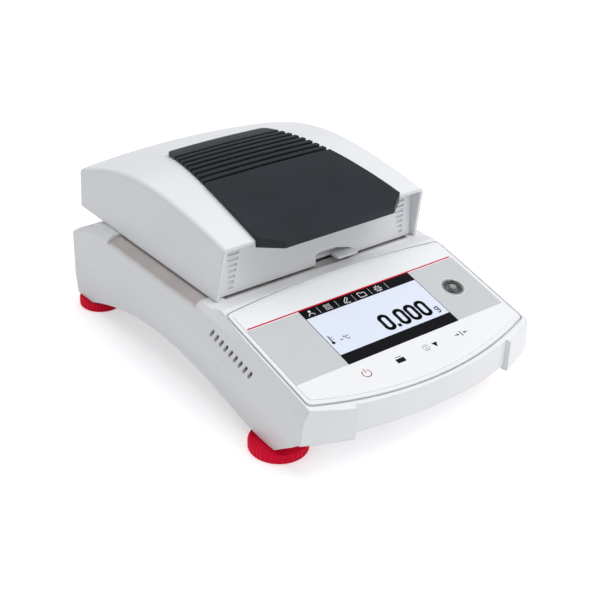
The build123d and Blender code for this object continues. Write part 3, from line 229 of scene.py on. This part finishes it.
BRASS = surface("turned_brass", (0.60, 0.42, 0.17), 0.28, 1.0, grain=700, bump=0.25, vary=0.08, edge=0.0002)
FIBRE = surface("pressed_fibre", (0.42, 0.40, 0.35), 0.9, grain=900, bump=0.8, depth=0.0004, vary=0.25,
                edge=0.0003)
GLASS = clear_material("heat_resistant_glass", (0.95, 0.97, 0.97))
VIAL = clear_material("clear_vial", (0.90, 0.92, 0.90), 0.03, 1.48)
BUBBLE = surface("level_bubble_liquid", (0.55, 0.57, 0.58), 0.12, grain=300, bump=0.0, vary=0.1, edge=0.0002)
GREY_PRINT = surface("grey_print", (0.535, 0.555, 0.572), 0.36, grain=3600, bump=0.06, vary=0.015,
                     edge=0.0001)
RED_PRINT = surface("crimson_print", (0.58, 0.002, 0.024), 0.40, grain=3600, bump=0.05, vary=0.05,
                    edge=0.0001,
                    specular=0.10)
BLACK_PRINT = surface("black_print", (0.004, 0.004, 0.006), 0.45, grain=3600, bump=0.05, vary=0.2,
                      edge=0.0001,
                      specular=0.10)
WHITE_PRINT = surface("white_print", (0.78, 0.79, 0.82), 0.35, grain=3600, bump=0.05, vary=0.02, edge=0.0001)
FIELD_PRINT = surface("screen_field", (0.70, 0.745, 0.86), 0.22, grain=3800, bump=0.02, vary=0.015,
                      edge=0.0001)
CUP = surface("level_cup_plastic", (0.34, 0.35, 0.36), 0.35, grain=1800, bump=0.15, vary=0.10, edge=0.0003)
TUNGSTEN = surface("tungsten_coil", (0.30, 0.29, 0.28), 0.35, 1.0, grain=2500, bump=0.3, vary=0.15,
                   edge=0.0001)

NODE_LOOKS = {
    "upper_housing": WHITE, "lower_housing": WHITE, "control_panel": WHITE, "panel_film": FILM,
    "lid_shell": WHITE_LID, "lid_front": WHITE_LID, "vent_cover": COVER, "display_glass": SCREEN,
    "chamber_deck": STEEL, "chamber_bowl": STEEL, "lid_liner": STEEL, "sample_pan": BRIGHT,
    "reflector": BRIGHT,
    "load_cell": BRIGHT, "load_cell_pedestal": BRIGHT, "chamber_insulation": FIBRE, "lamp_holders": CERAMIC,
    "level_cup": CUP, "level_vial": VIAL, "level_bubble": BUBBLE, "lamp_glass": GLASS, "halogen_lamp": GLASS,
    "main_board": BOARD, "touch_key_board": BOARD, "power_supply": BOARD, "board_posts": BRASS,
    "foot_nuts": BRASS,
    "inlet_contacts": BRASS, "power_inlet": DARK, "fuse_drawer": DARK,
    "foot_front_left": FOOT, "foot_front_right": FOOT, "foot_rear_left": FOOT, "foot_rear_right": FOOT,
}
for node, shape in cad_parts.items():
    shape.data.materials.clear()
    shape.data.materials.append(NODE_LOOKS.get(node, PLAIN_STEEL))


# Printed shapes on the panel
def panel_point(x, v, lift):
    """Place on the panel: x to the right, v up the slope and lift out of it, in millimetres."""
    y = PANEL_Y + v * math.cos(PANEL_TILT) - lift * math.sin(PANEL_TILT)
    z = PANEL_Z + v * math.sin(PANEL_TILT) + lift * math.cos(PANEL_TILT)
    return Vector((x, y, z)) * MM


def panel_print(name, outlines, material, lift=FILM_TOP, thickness=PRINT_T):
    """Thin printed layer made of closed outlines on the panel."""
    mesh = bpy.data.meshes.new(name)
    build = bmesh.new()
    for outline in outlines:
        low = [build.verts.new(panel_point(x, v, lift + 0.01)) for x, v in outline]
        high = [build.verts.new(panel_point(x, v, lift + thickness)) for x, v in outline]
        build.faces.new(high)
        build.faces.new(list(reversed(low)))
        for i in range(len(outline)):
            j = (i + 1) % len(outline)
            build.faces.new((low[i], low[j], high[j], high[i]))
    bmesh.ops.recalc_face_normals(build, faces=build.faces)
    build.to_mesh(mesh)
    build.free()
    piece = bpy.data.objects.new(name, mesh)
    bpy.context.scene.collection.objects.link(piece)
    mesh.materials.append(material)
    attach(piece, "base")
    return piece


def strip(points, width):
    """Outlines that draw a line of the given width through points."""
    parts = []
    for (x0, v0), (x1, v1) in zip(points, points[1:]):
        length = math.hypot(x1 - x0, v1 - v0)
        ax, av = (x1 - x0) / length * width / 2, (v1 - v0) / length * width / 2
        parts.append([(x0 - ax + av, v0 - av - ax), (x1 + ax + av, v1 + av - ax),
                      (x1 + ax - av, v1 + av + ax), (x0 - ax - av, v0 - av + ax)])
    return parts


def arc(cx, cv, radius, start, end, count=24):
    """Points along an arc, in degrees."""
    steps = [math.radians(start + (end - start) * i / count) for i in range(count + 1)]
    return [(cx + radius * math.cos(a), cv + radius * math.sin(a)) for a in steps]


def disc(cx, cv, radius, count=24):
    """One round outline."""
    return [arc(cx, cv, radius, 0, 360, count)[:-1]]


def rectangle(x0, x1, v0, v1):
    """One rectangular outline."""
    return [[(x0, v0), (x1, v0), (x1, v1), (x0, v1)]]


def grey_bands():
    """Grey side bands of the film, with a round opening for the level on the right."""
    inner, low, high = DISPLAY_HALF + 0.3, DISPLAY_BOTTOM, BAND_TOP
    left = rectangle(-PLATE_HALF, -inner, low, high)
    x0, x1 = LEVEL_X - LEVEL_SQUARE, LEVEL_X + LEVEL_SQUARE
    right = rectangle(inner, x0, low, high) + rectangle(x1, PLATE_HALF, low, high)
    right += rectangle(x0, x1, low, LEVEL_V - LEVEL_SQUARE)
    right += rectangle(x0, x1, LEVEL_V + LEVEL_SQUARE, high)
    # The square round the level is filled by pieces between its ring and its sides
    count = 48
    for i in range(count):
        a, b = (math.radians(360 * (i + k) / count) for k in (0, 1))
        corners = []
        for angle, radius in ((a, LEVEL_HOLE_R + 0.5), (b, LEVEL_HOLE_R + 0.5)):
            corners.append((LEVEL_X + radius * math.cos(angle), LEVEL_V + radius * math.sin(angle)))
        for angle in (b, a):
            reach = LEVEL_SQUARE / max(abs(math.cos(angle)), abs(math.sin(angle)))
            corners.append((LEVEL_X + reach * math.cos(angle), LEVEL_V + reach * math.sin(angle)))
        right.append(corners)
    return left + right


panel_print("grey_bands", grey_bands(), GREY_PRINT)
panel_print("crimson_line", rectangle(-LINE_HALF, LINE_HALF, -0.15, 1.0), RED_PRINT, lift=FILM_TOP + 0.02)
panel_print("screen_field", rectangle(-DISPLAY_HALF + 0.2, DISPLAY_HALF - 0.2, FOOTER_TOP, HEADER_BOTTOM),
            FIELD_PRINT)


def header_icons():
    """White pictograms of the screen's header: user, tiles, pencil, folder and gear, with dividers."""
    v = -4.7
    icons = disc(-43.0, v + 1.6, 1.1) + strip(arc(-43.0, v - 3.0, 2.6, 20, 160, 10), 0.7)
    for dx in (-1.5, 1.5):
        for dv in (-1.5, 1.5):
            icons += strip([(-27.8 + dx - 0.9, v + dv - 0.9), (-27.8 + dx + 0.9, v + dv - 0.9),
                            (-27.8 + dx + 0.9, v + dv + 0.9), (-27.8 + dx - 0.9, v + dv + 0.9),
                            (-27.8 + dx - 0.9, v + dv - 0.9)], 0.4)
    icons += strip([(-14.2, v - 2.4), (-13.6, v - 0.6), (-10.4, v + 2.6), (-9.2, v + 1.4), (-12.4, v - 1.8),
                    (-14.2, v - 2.4)], 0.5) + strip([(-12.6, v - 2.7), (-9.4, v - 2.7)], 0.5)
    icons += strip([(0.0, v - 2.4), (0.0, v + 2.4), (2.0, v + 2.4), (2.7, v + 1.5), (6.0, v + 1.5),
                    (6.0, v - 2.4),
                    (0.0, v - 2.4)], 0.5)
    icons += strip(arc(18.0, v, 2.0, 0, 360, 24), 0.6) + strip(arc(18.0, v, 0.8, 0, 360, 12), 0.4)
    for i in range(8):
        a = math.radians(45 * i)
        icons += strip([(18.0 + 2.0 * math.cos(a), v + 2.0 * math.sin(a)),
                        (18.0 + 2.9 * math.cos(a), v + 2.9 * math.sin(a))], 0.8)
    for x in (-35.7, -19.9, -4.6, 10.6, 26.0):
        icons += strip([(x, v - 3.0), (x, v + 3.0)], 0.25)
    return icons


def thermometer():
    """Small thermometer at the screen's lower left."""
    x, v = -46.6, -35.6
    marks = disc(x, v, 1.3) + strip([(x, v), (x, v + 6.6)], 0.9)
    marks += strip([(x + 1.4, v + 3.0), (x + 2.4, v + 3.0)],
                   0.4) + strip([(x + 1.4, v + 5.0), (x + 2.4, v + 5.0)], 0.4)
    marks += strip([(-40.4, v + 0.2), (-38.4, v + 0.2)], 0.6)
    marks += strip(arc(-36.4, v + 2.2, 0.5, 0, 360, 10), 0.35)
    return marks + strip(arc(-33.9, v + 0.6, 1.5, 50, 310, 14), 0.55)


def digit_outline(x, v, width, height, stroke):
    """Upright rounded zero."""
    radius = width / 2
    line = arc(x, v + height - radius, radius, 0, 180, 12) + arc(x, v + radius, radius, 180, 360, 12)
    return strip(line + line[:1], stroke)


def reading():
    """The weight reading: a zero, a point and three zeros."""
    marks = []
    for x in DIGIT_PLACES:
        marks += digit_outline(x, DIGIT_V, 6.2, 13.2, 2.7)
    return marks + rectangle(6.1, 9.0, -43.3, -40.4)


def gram_mark():
    """Unit of the reading."""
    marks = strip(arc(43.6, -39.9, 1.4, 0, 360, 16), 0.8)
    return marks + strip([(45.0, -38.4), (45.0, -42.6)] + arc(43.6, -42.6, 1.4, 0, -140, 8)[1:], 0.8)


screen_lift = FILM_TOP + PRINT_T
panel_print("header_icons", header_icons(), WHITE_PRINT)
panel_print("screen_reading", reading() + gram_mark(), BLACK_PRINT, lift=screen_lift)
panel_print("screen_thermometer", thermometer(), BLACK_PRINT, lift=screen_lift)


def power_key():
    """Power sign: an open ring with a stroke."""
    return strip(arc(POWER_KEY_X, KEY_V, 3.2, 125, 415, 26),
                 0.6) + strip([(POWER_KEY_X, KEY_V + 0.6), (POWER_KEY_X, KEY_V + 4.2)], 0.6)


def print_key():
    """Printer sign."""
    x = PRINT_KEY_X
    marks = rectangle(x - 3.6, x + 3.6, KEY_V - 2.6, KEY_V + 1.2)
    return marks + strip([(x - 2.2, KEY_V + 2.6), (x + 2.2, KEY_V + 2.6)], 0.5)


def other_keys():
    """Information ring, selection arrow and the two arrows of the taring key."""
    marks = strip(arc(INFO_KEY_X, KEY_V + 0.8, 2.6, 0, 360, 24), 0.3)
    marks += disc(INFO_KEY_X, KEY_V + 2.0, 0.4, 10)
    marks += strip([(INFO_KEY_X, KEY_V + 0.9), (INFO_KEY_X, KEY_V - 0.7)], 0.5)
    marks += [[(ARROW_KEY_X - 2.4, KEY_V + 2.4), (ARROW_KEY_X + 2.4, KEY_V + 2.4),
               (ARROW_KEY_X, KEY_V - 1.8)]]
    x, v = TARE_KEY_X, KEY_V + 0.8
    marks += strip([(x, v - 2.0), (x, v + 2.0)], 0.8)
    for side in (-1, 1):
        marks += strip([(x + side * 5.6, v), (x + side * 3.0, v)], 0.6)
        tip = [(x + side * 1.8, v), (x + side * 3.6, v + 1.1), (x + side * 3.6, v - 1.1)]
        marks.append(tip)
    return marks


panel_print("power_key_sign", power_key(), RED_PRINT)
panel_print("print_key_sign", print_key(), BLACK_PRINT)
panel_print("other_key_signs", other_keys(), BLACK_PRINT)


# Lamp filament
def lamp_filament():
    """Tungsten coil that follows the ring of the lamp."""
    turns, per_turn, coil_r = 150, 8, 1.1
    curve = bpy.data.curves.new("lamp_filament", "CURVE")
    curve.dimensions = "3D"
    curve.bevel_depth = 0.16 * MM
    line = curve.splines.new("POLY")
    count = turns * per_turn
    line.points.add(count - 1)
    for i in range(count):
        round_ring = math.radians(8 + 344 * i / (count - 1))
        twist = 2 * math.pi * i / per_turn
        radius = LAMP_R + coil_r * math.cos(twist)
        line.points[i].co = (radius * math.cos(round_ring) * MM,
                             (LAMP_Y + radius * math.sin(round_ring)) * MM,
                             (LAMP_Z + coil_r * math.sin(twist)) * MM, 1)
    piece = bpy.data.objects.new("lamp_filament", curve)
    bpy.context.scene.collection.objects.link(piece)
    curve.materials.append(TUNGSTEN)
    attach(piece, "lid")


lamp_filament()


def boxes_piece(name, boxes, material, body):
    """One piece made of closed blocks, given by their limits in millimetres."""
    mesh = bpy.data.meshes.new(name)
    build = bmesh.new()
    for x0, x1, y0, y1, z0, z1 in boxes:
        made = bmesh.ops.create_cube(build, size=1.0)["verts"]
        bmesh.ops.scale(build, vec=((x1 - x0) * MM, (y1 - y0) * MM, (z1 - z0) * MM), verts=made)
        bmesh.ops.translate(build, vec=((x0 + x1) / 2 * MM, (y0 + y1) / 2 * MM, (z0 + z1) / 2 * MM),
                            verts=made)
    build.to_mesh(mesh)
    build.free()
    mesh.materials.append(material)
    piece = bpy.data.objects.new(name, mesh)
    bpy.context.scene.collection.objects.link(piece)
    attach(piece, body)
    return piece


def slot_baffles():
    """Pale plates behind the vent slots, on the back of the lid's front wall."""
    boxes = [(x0, x0 + BAFFLE_W, WALL_BACK_Y, WALL_BACK_Y + BAFFLE_T, BAFFLE_LOW_Z, BAFFLE_HIGH_Z)
             for x0 in BAFFLE_LEFTS]
    for i in range(SLOT_COUNT):
        width = SLOT_WIDE + (SLOT_NARROW - SLOT_WIDE) * i / (SLOT_COUNT - 1)
        middle = SLOT_TOP_Z - SLOT_PITCH * i
        low, high = middle - SLOT_FILL_H / 2, middle + SLOT_FILL_H / 2
        near, far = SLOT_OUTER_X - SLOT_ROOM, SLOT_OUTER_X - width + SLOT_ROOM
        boxes.append((far, near, SLOT_FILL_Y, WALL_BACK_Y, low, high))
        boxes.append((-near, -far, SLOT_FILL_Y, WALL_BACK_Y, low, high))
    boxes_piece("slot_baffles", boxes, WHITE_LID, "lid")


def notch_pocket():
    """Pale pocket behind the grip notch, clear of the fingertips' room."""
    left, right, back, top = NOTCH_LEFT, NOTCH_RIGHT, NOTCH_BACK_Y, NOTCH_TOP_Z
    boxes = [(left, right, back, back + POCKET_T, LINER_TOP, top),
             (left - POCKET_T, left, WALL_BACK_Y, back, LINER_TOP, top),
             (left, right, WALL_BACK_Y, back, top, top + POCKET_T),
             (left, right, POCKET_SKIRT_Y, POCKET_SKIRT_Y + POCKET_SKIRT_T, POCKET_SKIRT_Z, LINER_TOP)]
    boxes_piece("notch_pocket", boxes, WHITE_LID, "lid")


def corner_backings():
    """Plates inside the housing's rear corners, behind a hairline slit in the solids' skin."""
    mesh = bpy.data.meshes.new("corner_backings")
    build = bmesh.new()
    for side in (-1, 1):
        made = bmesh.ops.create_cube(build, size=1.0)["verts"]
        bmesh.ops.scale(build, vec=(BACKING_W * MM, BACKING_T * MM, (BACKING_Z1 - BACKING_Z0) * MM),
                        verts=made)
        turn = Matrix.Rotation(-side * math.radians(45), 3, "Z")
        bmesh.ops.rotate(build, matrix=turn, verts=made)
        place = (side * BACKING_X * MM, BACKING_Y * MM, (BACKING_Z0 + BACKING_Z1) / 2 * MM)
        bmesh.ops.translate(build, vec=place, verts=made)
    build.to_mesh(mesh)
    build.free()
    mesh.materials.append(WHITE)
    piece = bpy.data.objects.new("corner_backings", mesh)
    bpy.context.scene.collection.objects.link(piece)
    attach(piece, "base")


slot_baffles()
notch_pocket()
corner_backings()


# Floor, light and camera
def floor_material():
    """Pale floor that keeps the shadow and shows as white to the camera, glass and metal."""
    material, nodes, links = new_material("studio_floor")
    out = nodes["Material Output"]
    shader = nodes["Principled BSDF"]
    shader.inputs["Base Color"].default_value = (0.86, 0.86, 0.87, 1)
    shader.inputs["Roughness"].default_value = 0.9
    shader.inputs["Specular IOR Level"].default_value = 0.1
    glow = nodes.new("ShaderNodeEmission")
    light = nodes.new("ShaderNodeLightPath")
    seen = nodes.new("ShaderNodeMath")
    seen.operation = "MAXIMUM"
    links.new(light.outputs["Is Camera Ray"], seen.inputs[0])
    links.new(light.outputs["Is Glossy Ray"], seen.inputs[1])
    both = nodes.new("ShaderNodeMath")
    both.operation = "MAXIMUM"
    links.new(seen.outputs["Value"], both.inputs[0])
    links.new(light.outputs["Is Transmission Ray"], both.inputs[1])
    # The far floor gets less lamp light, so its own share rises with the distance from the object
    place = nodes.new("ShaderNodeTexCoord")
    reach = nodes.new("ShaderNodeVectorMath")
    reach.operation = "LENGTH"
    links.new(place.outputs["Object"], reach.inputs[0])
    rise = nodes.new("ShaderNodeMapRange")
    rise.inputs["From Min"].default_value = 0.5
    rise.inputs["From Max"].default_value = 1.8
    rise.inputs["To Min"].default_value = 0.46
    rise.inputs["To Max"].default_value = 0.75
    links.new(reach.outputs["Value"], rise.inputs["Value"])
    share = nodes.new("ShaderNodeMath")
    share.operation = "MULTIPLY"
    links.new(rise.outputs["Result"], share.inputs[1])
    links.new(both.outputs["Value"], share.inputs[0])
    links.new(share.outputs["Value"], glow.inputs["Strength"])
    total = nodes.new("ShaderNodeAddShader")
    links.new(shader.outputs["BSDF"], total.inputs[0])
    links.new(glow.outputs["Emission"], total.inputs[1])
    links.new(total.outputs["Shader"], out.inputs["Surface"])
    return material


def add_floor():
    """Large plane under the feet."""
    mesh = bpy.data.meshes.new("floor")
    half = 8.0
    mesh.from_pydata([(-half, -half, 0), (half, -half, 0), (half, half, 0), (-half, half, 0)], [],
                     [(0, 1, 2, 3)])
    mesh.materials.append(floor_material())
    floor = bpy.data.objects.new("floor", mesh)
    bpy.context.scene.collection.objects.link(floor)


def add_world():
    """Even pale surroundings, white where the camera, glass or metal sees them."""
    world = bpy.data.worlds.new("studio")
    bpy.context.scene.world = world
    world.use_nodes = True
    nodes, links = world.node_tree.nodes, world.node_tree.links
    base = nodes["Background"]
    base.inputs["Color"].default_value = (0.975, 0.985, 1.0, 1)
    base.inputs["Strength"].default_value = 0.44
    white = nodes.new("ShaderNodeBackground")
    white.inputs["Strength"].default_value = 1.0
    white.inputs["Color"].default_value = (1, 1, 1, 1)
    light = nodes.new("ShaderNodeLightPath")
    mix = nodes.new("ShaderNodeMixShader")
    links.new(light.outputs["Is Camera Ray"], mix.inputs["Fac"])
    links.new(base.outputs["Background"], mix.inputs[1])
    links.new(white.outputs["Background"], mix.inputs[2])
    links.new(mix.outputs["Shader"], nodes["World Output"].inputs["Surface"])


def add_light(name, place, target, size, power):
    """Square soft lamp that points at a target."""
    lamp = bpy.data.lights.new(name, "AREA")
    lamp.size = size
    lamp.energy = power
    thing = bpy.data.objects.new(name, lamp)
    thing.location = place
    thing.rotation_euler = (Vector(target) - Vector(place)).to_track_quat("-Z", "Y").to_euler()
    bpy.context.scene.collection.objects.link(thing)


def add_camera():
    """Camera at the photograph's place and angle."""
    data = bpy.data.cameras.new("camera")
    data.lens = CAMERA_LENS
    data.sensor_width = 36.0
    data.clip_start = 0.01
    data.clip_end = 50.0
    camera = bpy.data.objects.new("camera", data)
    right = CAMERA_FORWARD.cross(CAMERA_UP).normalized()
    up = right.cross(CAMERA_FORWARD).normalized()
    turn = Matrix((right, up, -CAMERA_FORWARD.normalized())).transposed().to_4x4()
    camera.matrix_world = Matrix.Translation(CAMERA_PLACE) @ turn
    bpy.context.scene.collection.objects.link(camera)
    bpy.context.scene.camera = camera


add_floor()
add_world()
add_light("key_light", (0.75, -0.75, 1.5), (0, 0, 0.05), 1.2, 15.0)
add_light("top_light", (0.0, 0.15, 1.8), (0, 0, 0.05), 1.6, 11.5)
add_light("left_fill", (-1.4, -0.4, 0.7), (0, 0, 0.08), 1.2, 1.2)
add_light("front_fill", (0.25, -1.6, 0.45), (0, 0, 0.08), 1.0, 2.6)
add_camera()
bpy.context.scene.view_settings.view_transform = "Standard"
